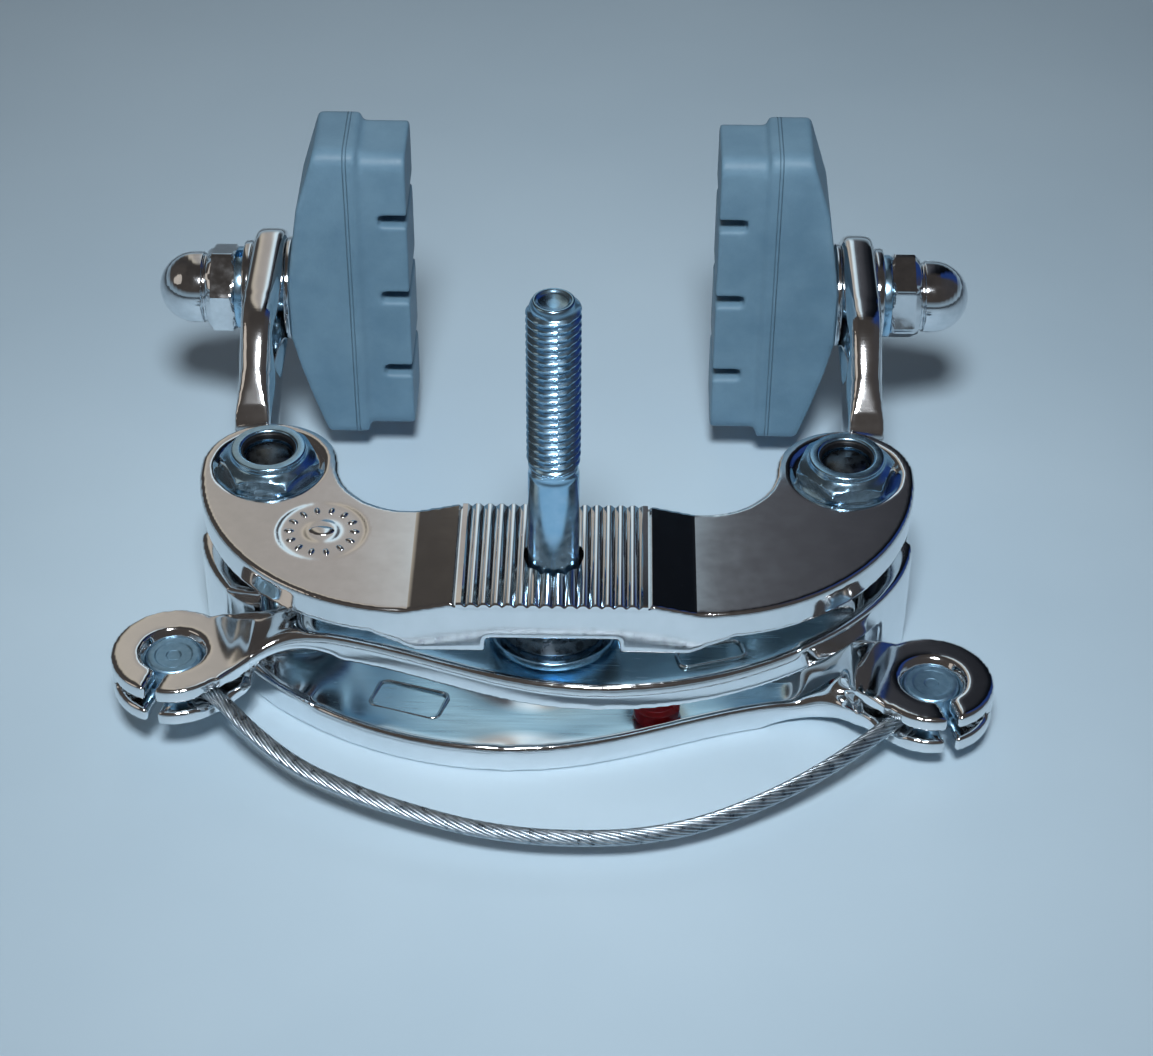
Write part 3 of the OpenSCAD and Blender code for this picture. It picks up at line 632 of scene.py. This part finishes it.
# %% Mounting bolt
BOLT_R, NECK, THREAD_TOP, TIP = 2.975, 12.6, 33.75, 34.6
head_low, head_t = -11.45, 1.5
shank = [(0, head_low), (6.0, head_low), (7.5, head_low + 0.45), (7.5, head_low + head_t),
         (2.9, head_low + head_t), (2.85, NECK - 0.9), (2.7, NECK - 0.4), (2.7, NECK)]
tip = [(2.5, TIP - 0.55), (2.25, TIP - 0.06), (1.95, TIP - 0.02), (1.6, TIP - 0.32),
       (0.8, TIP - 0.5), (0, TIP - 0.55)]
rows = [tuple(p) for p in eased(shank, 0.25)]
heights = np.arange(NECK + 0.05, THREAD_TOP, 0.1)
rows += [(BOLT_R, h) for h in heights] + [tuple(p) for p in eased(tip, 0.15)]
sides = 72
verts = []
for r, h in rows:
    for j in range(sides):
        a = 2 * math.pi * j / sides
        radius = r
        if r == BOLT_R:
            away = abs((h - j / sides) % 1.0 - 0.5) * 2
            flank = min(max((away - 0.14) / 0.62, 0.0), 1.0)
            fade = min((h - NECK) / 1.3, (THREAD_TOP - h) / 0.5 + 0.5, 1.0)
            radius = r - 0.5 * flank * max(fade, 0.0) - 0.25 * (1 - max(fade, 0.0))
        verts.append(Vector((radius * math.cos(a), radius * math.sin(a), h)) * MM)
piece("mounting_bolt_threaded", verts, grid_faces(len(rows), sides), zinc, "bridge_body",
      40, ["mounting_bolt"])
turned("waisted_washer", [(3.1, -9.9), (6.2, -9.9), (6.6, -9.4), (6.2, -7.95), (6.2, -6.6),
                          (7, -6.0), (7, -5.2), (3.1, -5.2)], at(0, 0, 0), dark_steel,
       "bridge_body", closed=True, stands_for=["mounting_washer"])
print("thread turns:", round(THREAD_TOP - NECK, 1))

# %% [markdown]
# Both pivots are alike. A shoulder bolt stands in the barrel, a low locknut closes it on
# top of the lobe, a nylon ring in the nut grips the thread, and a sleeve keeps the spring
# round the shoulder. A hexagon is turned like the rest: each radius is held back to the
# flats, so the chamfer meets them in the curved edges of a real nut.

# %% Pivot bolts, nuts, sleeves and bushes
NUT_AF, NUT_Z = 10.4, -1.6
SHOULDER_LOW = FLOOR_Z + 4.6 - 0.9 - 0.1
for sign, side in ((-1, "left"), (1, "right")):
    centre = at(sign * PIVOT[0], PIVOT[1], 0)
    arm_body = side + "_arm_body"
    turned(side + "_locknut", [(3.05, 0), (5.3, 0), (5.95, 0.4), (5.95, 1.15), (5.45, 1.6),
                               (4.75, 1.98), (4.45, 2.2), (4.45, 2.72), (4.3, 2.88),
                               (3.4, 2.9), (3.2, 2.75), (3.2, 2.62), (3.75, 2.6), (3.75, 1.82),
                               (3.05, 1.8)],
           centre @ at(0, 0, NUT_Z), zinc, "bridge_body", flats=NUT_AF,
           turn=(-35, 0, 41)[sign + 1], sides=180, reach=0.16, closed=True,
           stands_for=[side + "_pivot_nut"])
    turned(side + "_locking_ring", [(2.95, 1.85), (3.72, 1.85), (3.72, 2.55), (3.3, 2.62),
                                    (2.98, 2.5)],
           centre @ at(0, 0, NUT_Z), nylon, "bridge_body", closed=True,
           reach=0.08, stands_for=[side + "_nut_insert"])
    turned(side + "_shoulder_bolt",
           [(0, SHOULDER_LOW - 1.2), (-2.31, SHOULDER_LOW - 1.2), (-2.31, SHOULDER_LOW - 3.0),
            (2.9, SHOULDER_LOW - 3.2), (5.0, SHOULDER_LOW - 3.2), (5.4, SHOULDER_LOW - 3.05),
            (5.5, SHOULDER_LOW - 2.7), (5.5, SHOULDER_LOW), (4, SHOULDER_LOW), (4, UNDER_Z),
            (2.95, UNDER_Z), (2.95, -0.4), (2.6, 0.1), (2.2, 0.36), (0, 0.4)],
           centre, dark_steel, "bridge_body", reach=0,
           stands_for=[side + "_pivot_bolt"])
    turned(side + "_spring_sleeve", [(4.05, ARM_Z + 0.15), (4.9, ARM_Z + 0.15), (4.9, UNDER_Z),
                                     (4.05, UNDER_Z)],
           centre, nylon, "bridge_body", closed=True,
           stands_for=[side + "_spring_bush"])
    turned(side + "_bearing_washer", [(4.05, FLOOR_Z + 3.65), (5.6, FLOOR_Z + 3.65),
                                      (5.6, FLOOR_Z + 4.55), (4.05, FLOOR_Z + 4.55)],
           centre, zinc, "bridge_body", closed=True,
           stands_for=[side + "_thrust_washer"])
    turned(side + "_bearing_sleeve", [(4.04, FLOOR_Z + 4.75), (5.04, FLOOR_Z + 4.75),
                                      (5.04, ARM_Z - 0.15), (4.04, ARM_Z - 0.15)],
           centre, bronze, arm_body, closed=True,
           stands_for=[side + "_pivot_bush"])

# %% [markdown]
# A round wire is a tube swept along a line of points. The frame that carries the round is
# turned as little as possible from point to point, so the tube never twists.

# %% Swept tubes
def smooth_course(points, steps):
    # Passes through every point, blending four neighbours at a time
    p = [np.array(q, float) for q in points]
    out = []
    for i in range(len(p) - 1):
        a, b, c, d = p[max(i - 1, 0)], p[i], p[i + 1], p[min(i + 2, len(p) - 1)]
        for t in np.arange(steps) / steps:
            out.append(0.5 * (2 * b + (c - a) * t + (2 * a - 5 * b + 4 * c - d) * t * t
                              + (3 * b - a - 3 * c + d) * t ** 3))
    return np.array(out + [p[-1]])


def moving_frame(path):
    tangents = np.gradient(path, axis=0)
    tangents /= np.linalg.norm(tangents, axis=1)[:, None]
    side = np.cross(tangents[0], (0, 0, 1.0))
    if np.linalg.norm(side) < 0.1:
        side = np.cross(tangents[0], (1.0, 0, 0))
    sides = []
    for t in tangents:
        side = side - t * (side @ t)
        side = side / np.linalg.norm(side)
        sides.append(side)
    sides = np.array(sides)
    return tangents, sides, np.cross(tangents, sides)


def sweep(path, radius, around, start=0):
    # Points and faces of a closed tube; radius may change along the path
    _, u, v = moving_frame(path)
    radius = np.broadcast_to(radius, len(path))
    a = np.linspace(0, 2 * math.pi, around, endpoint=False)
    ring = (np.cos(a)[None, :, None] * u[:, None] + np.sin(a)[None, :, None] * v[:, None])
    points = (path[:, None] + radius[:, None, None] * ring).reshape(-1, 3)
    loops = [tuple(start + k for k in f) for f in grid_faces(len(path), around)]
    n = len(points)
    loops += [tuple(start + k for k in range(around)), tuple(start + n - around + k
                                                            for k in range(around))]
    return points, loops


# %% [markdown]
# Each return spring hooks on the bridge's peg, coils once and a half round its sleeve, and
# pushes on the inside of the leg. It is built as one fixed piece, attached to neither body.

# %% Return springs
WIRE_D, COIL_R, COIL_START, COIL_TURNS = 1.9, 6.2, -72.0, 1.38
z_top = UNDER_Z - 0.1 - WIRE_D / 2
fall = 4.8 - WIRE_D - 0.2
for sign, side in ((-1, "left"), (1, "right")):
    steps = 90
    angles = np.radians(COIL_START - 360 * COIL_TURNS * np.linspace(0, 1, steps + 1))
    coil = np.stack([PIVOT[0] + COIL_R * np.cos(angles), PIVOT[1] + COIL_R * np.sin(angles),
                     z_top - fall * np.linspace(0, 1, steps + 1)], 1)
    leg = np.array((math.cos(angles[0] + math.pi / 2), math.sin(angles[0] + math.pi / 2), 0))
    first = [coil[0] - leg * d for d in np.linspace(15.2, 0.5, 24)]
    reach = (34.9 - WIRE_D / 2 - 0.1 - coil[-1][0]) / math.sin(angles[-1])
    foot = reach * np.array((math.sin(angles[-1]), -math.cos(angles[-1]), 0))
    last = [coil[-1] + foot * k for k in np.linspace(0.06, 1, 18)]
    path = np.concatenate([first, coil, last])
    path[:, 0] *= sign
    ends = np.full(len(path), WIRE_D / 2)
    ends[[0, -1]] *= 0.86
    points, loops = sweep(path, ends, 16)
    spring = piece(side + "_return_spring", points * MM, loops, wire, None, 50,
                   [side + "_spring"])
    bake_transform(spring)
print("spring wire, mm:", WIRE_D, "turns:", COIL_TURNS)

# %% [markdown]
# The straddle cable is a wire rope, 1.9 mm thick: twelve wires wound round a core with a
# lay of 15 mm. It springs out of both nipples in one shallow bow and sags a little in the
# middle. Its route repeats the CAD's points. It is built in two halves that meet in the
# bow's middle, and neither half is attached to an arm.

# %% Straddle cable
CABLE_D = 1.9
left_eye = np.array((-EYE_X, EYE_Y, -14.65))
right_eye = np.array((EYE_X, EYE_Y, -17.25))
out_l = np.array((math.cos(math.radians(-43)), math.sin(math.radians(-43)), 0))
out_r = np.array((math.cos(math.radians(225)), math.sin(math.radians(225)), 0))
route = [left_eye + 0.8 * out_l, left_eye + 4.5 * out_l, left_eye + 8.4 * out_l - (0, 0, 0.1),
         (-33, -13.6, -15.8), (-28, -17.2, -17), (-22, -20.1, -17.8), (-16, -22.3, -18.4),
         (-8, -24.4, -19), (0, -25.2, -19.4), (9, -24.9, -19.4), (16.5, -23, -19.3),
         (24, -19.5, -18.8), (31, -15, -18.1), right_eye + 8.4 * out_r - (0, 0, 0.1),
         right_eye + 4.5 * out_r, right_eye + 0.8 * out_r]
line = smooth_course(route, 12)
lengths = np.concatenate([[0], np.cumsum(np.linalg.norm(np.diff(line, axis=0), axis=1))])
_, side_u, side_v = moving_frame(line)
WIRES, LAY = 12, 15.0
wire_r = CABLE_D / 2 * math.sin(math.pi / WIRES) / (1 + math.sin(math.pi / WIRES))
middle = 8 * 12
for name, first, last, body, end in (
        ("straddle_cable_left", 0, middle, "right_arm_body", left_eye),
        ("straddle_cable_right", middle, len(line) - 1, "left_arm_body", right_eye)):
    part = slice(first, last + 1)
    verts, faces = [], []
    core, loops = sweep(line[part], CABLE_D / 2 - wire_r * 1.25, 12)
    verts.extend(core)
    faces.extend(loops)
    for k in range(WIRES):
        a = 2 * math.pi * (lengths[part] / LAY + k / WIRES)
        strand = line[part] + (CABLE_D / 2 - wire_r * 1.1) * (
            np.cos(a)[:, None] * side_u[part] + np.sin(a)[:, None] * side_v[part])
        points, loops = sweep(strand, wire_r * 1.02, 8, len(verts))
        verts.extend(points)
        faces.extend(loops)
    half = piece(name, np.array(verts) * MM, faces, rope, None, 50,
                 ["straddle_cable"])
    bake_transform(half)
print("cable length, mm:", round(float(lengths[-1]), 1), "wire, mm:", round(2 * wire_r, 2))

# %% [markdown]
# A barrel nipple holds each end of the cable and turns in its eye as the arms close.

# %% Nipples
for side, eye, body in (("left", left_eye, "left_nipple_body"),
                        ("right", right_eye, "right_nipple_body")):
    turned(side + "_barrel", [(0, -1.8), (2.85, -1.8), (3.15, -1.5), (3.15, 1.7), (2.9, 1.95),
                              (2.2, 1.95), (2.05, 1.88), (0.9, 1.88), (0.75, 1.8), (0, 1.8)],
           at(*eye), tumbled, body, stands_for=[side + "_nipple"])

# %% [markdown]
# The red button is moulded ABS, pressed in the lower arm's trough.

# %% Button
turned("abs_button", [(0, FLOOR_Z + 0.2), (1.48, FLOOR_Z + 0.2), (1.48, FLOOR_Z + 1.5),
                      (2.7, FLOOR_Z + 1.5), (2.7, FLOOR_Z + 3.3), (2.3, FLOOR_Z + 3.9),
                      (1.3, FLOOR_Z + 4.0), (1.1, FLOOR_Z + 3.8), (0, FLOOR_Z + 3.75)],
       at(12, -3, 0), red_abs, "left_arm_body", stands_for=["red_button"])

# %% [markdown]
# Each shoe hangs on a stud that slides in the leg's slot. Outside the leg come a flat
# washer, a split lock washer and a domed nut, whose thread is closed by its ball.

# %% Shoe fittings
STUD_Y, BACK_X, LEG_OUT, NUT_X = 52.0, 34.3, 39.2, 41.3
for sign, side in ((-1, "left"), (1, "right")):
    along = Matrix.Translation((0, STUD_Y, 0)) @ Matrix.Rotation(
        math.radians(90 * sign), 4, "Y")
    turned(side + "_seat_washer", [(3.1, BACK_X), (6.5, BACK_X), (6.5, BACK_X + 0.6),
                                   (3.1, BACK_X + 0.6)], along, chrome, side + "_clamp",
           closed=True, stands_for=[side + "_inner_washer"])
    turned(side + "_flat_washer", [(3.1, LEG_OUT), (6, LEG_OUT), (6, LEG_OUT + 1.1),
                                   (3.1, LEG_OUT + 1.1)], along, chrome, side + "_clamp",
           closed=True, reach=0.25, stands_for=[side + "_outer_washer"])
    gap = math.radians(9)
    turns = np.linspace(gap, 2 * math.pi - gap, 60)
    verts, faces = [], []
    rim = eased([(3.0, 0), (5.2, 0), (5.2, 1), (3.0, 1), (3.0, 0)], 0.15)[1:]
    for a in turns:
        for r, h in rim:
            verts.append(along @ Vector((r * math.cos(a), r * math.sin(a), NUT_X - 1 + h)) * MM)
    n = len(rim)
    faces = grid_faces(len(turns), n) + [tuple(range(n)), tuple(range(len(verts) - n, len(verts)))]
    piece(side + "_split_washer", verts, faces, zinc, side + "_shoe",
          stands_for=[side + "_lock_washer"])
    ball = [(4.5 * math.cos(a), NUT_X + 5.5 + 4.5 * math.sin(a))
            for a in np.radians(np.arange(0, 91, 7.5))]
    ball[-1] = (0, NUT_X + 10)
    turned(side + "_domed_nut", [(3.1, NUT_X), (5.0, NUT_X), (5.72, NUT_X + 0.42),
                                 (5.72, NUT_X + 2.9), (4.7, NUT_X + 3.7), (4.3, NUT_X + 3.8),
                                 (4.3, NUT_X + 4.1), (4.5, NUT_X + 4.3)] + ball, along, chrome,
           side + "_shoe", flats=10, turn=20, sides=120,
           stands_for=[side + "_cap_nut"])

# %% [markdown]
# The brake blocks are moulded in one piece: a block with three cross grooves in front, and
# a boat-shaped back round the stud's head. The voxel remesh rounds their edges like a mould.

# %% Brake blocks
for side, body in (("left", "left_shoe"), ("right", "right_shoe")):
    block = forged(side + "_brake_block", side + "_pad", 0.32, 4)
    settle(block, rubber, body, 60, [side + "_pad"])

# %% Finishes of the carried-over solids
finishes = {"polished_alloy": polished, "zinc_steel": zinc, "chromed_steel": chrome,
            "spring_steel": wire, "dark_steel": dark_steel, "wire_rope": rope, "bronze": bronze,
            "grey_rubber": rubber, "black_plastic": nylon, "red_plastic": red_abs}
for part in frame["record"]["subparts"]:
    solid = frame["nodes"][part["node"]]
    for slot in solid.material_slots:
        slot.material = finishes[part["material_slot"]]
print("finished solids:", len(frame["nodes"]))

# %% [markdown]
# A pale table under a soft lamp. The lamp hangs on the camera's side, about 57 degrees up,
# so shadows fall away from the viewer. Polished metal shows what stands round it, so the
# sky of the studio matters as much as the lamp: pale near the table, dim and a little warm
# higher up, with one lighter patch behind the brake on the left.

# %% Table
table_z = cad_low.z
bpy.ops.mesh.primitive_plane_add(size=6.0, location=(0, 0, table_z))
table = bpy.context.object
table.name = "table"
laminate, tree, shader, place = new_material(
    "pale blue laminate", IOR=1.45, Specular_IOR_Level=0.3)
mottle = speckle(tree, place, 60.0, detail=4.0)
tree.links.new(tint(tree, mottle, "#B4CCDB", "#BCD3E1"), shader.inputs["Base Color"])
tree.links.new(spread(tree, mottle, 0.42, 0.55), shader.inputs["Roughness"])
table.data.materials.append(laminate)

# %% Lamps and sky
def lamp(name, az, el, reach, size, watts, colour, aim=0.0):
    a, e = math.radians(az), math.radians(el)
    data = bpy.data.lights.new(name, "AREA")
    data.shape, data.size, data.energy = "DISK", size, watts
    data.color = srgb(colour)[:3]
    obj = bpy.data.objects.new(name, data)
    bpy.context.scene.collection.objects.link(obj)
    direction = Vector((math.sin(a) * math.cos(e), -math.cos(a) * math.cos(e), math.sin(e)))
    obj.location = direction * reach + Vector((0, aim, 0))
    obj.rotation_euler = direction.to_track_quat("Z", "Y").to_euler()
    return data


lamp("key", 0, 57, 0.46, 0.10, 0.24, "#F8FBFF", aim=0.02).spread = math.radians(60)
lamp("fill", -75, 35, 0.8, 0.4, 0.2, "#FFF1E2")

world = bpy.data.worlds.new("studio")
bpy.context.scene.world = world
world.use_nodes = True
tree = world.node_tree
ray = add(tree, "TexCoord").outputs["Generated"]
axes = add(tree, "SeparateXYZ", {"Vector": ray})
bearing = add(tree, "Math", {0: axes.outputs["X"], 1: axes.outputs["Y"]}, operation="ARCTAN2")
around = add(tree, "MapRange", {"Value": bearing.outputs["Value"]}, From_Min=-math.pi,
             From_Max=math.pi).outputs["Result"]


def ramp(value, stops):
    node = add(tree, "ValToRGB", {"Fac": value})
    elements = node.color_ramp.elements
    while len(elements) < len(stops):
        elements.new(0.5)
    for element, (position, code) in zip(elements, stops):
        element.position, element.color = position, srgb(code)
    return node.outputs["Color"]


walls = ramp(around, [(0.5 + bearing_deg / 360, code) for bearing_deg, code in (
    (-180, "#403B38"), (-70, "#45403D"), (-34, "#3B3837"), (-22, "#423E3B"), (-16, "#B5AC9E"),
    (-12.4, "#AEA69D"), (-10.6, "#9D9790"), (-8, "#9D9793"), (-6, "#A39D98"),
    (-3.5, "#D6E4EA"), (-0.8, "#CCE0EA"), (1.2, "#BFD4E0"),
    (2.8, "#55565B"), (4, "#4C4D52"), (7, "#3C3D42"), (10, "#24262B"), (18, "#101318"), (34, "#05080E"), (46, "#22376A"),
    (60, "#22376A"), (75, "#3C3B3E"), (180, "#403B38"))])
horizon = ramp(axes.outputs["Z"], [(0.0, "#FFFFFF"), (0.1, "#FFFFFF"), (0.3, "#000000")])
ceiling = ramp(axes.outputs["Z"], [(0.0, "#000000"), (0.86, "#000000"), (0.96, "#FFFFFF")])
sky = add(tree, "Mix", {0: horizon, 6: walls}, data_type="RGBA")
sky.inputs[7].default_value = srgb("#8396A3")
dome_sky = add(tree, "Mix", {0: ceiling, 6: sky.outputs[2]}, data_type="RGBA")
dome_sky.inputs[7].default_value = srgb("#3A3634")
background = tree.nodes["Background"]
tree.links.new(dome_sky.outputs[2], background.inputs["Color"])
background.inputs["Strength"].default_value = 1.1

# %% [markdown]
# Colours are shown as they are written: the view transform is Standard.

# %% View transform
bpy.context.scene.view_settings.view_transform = "Standard"
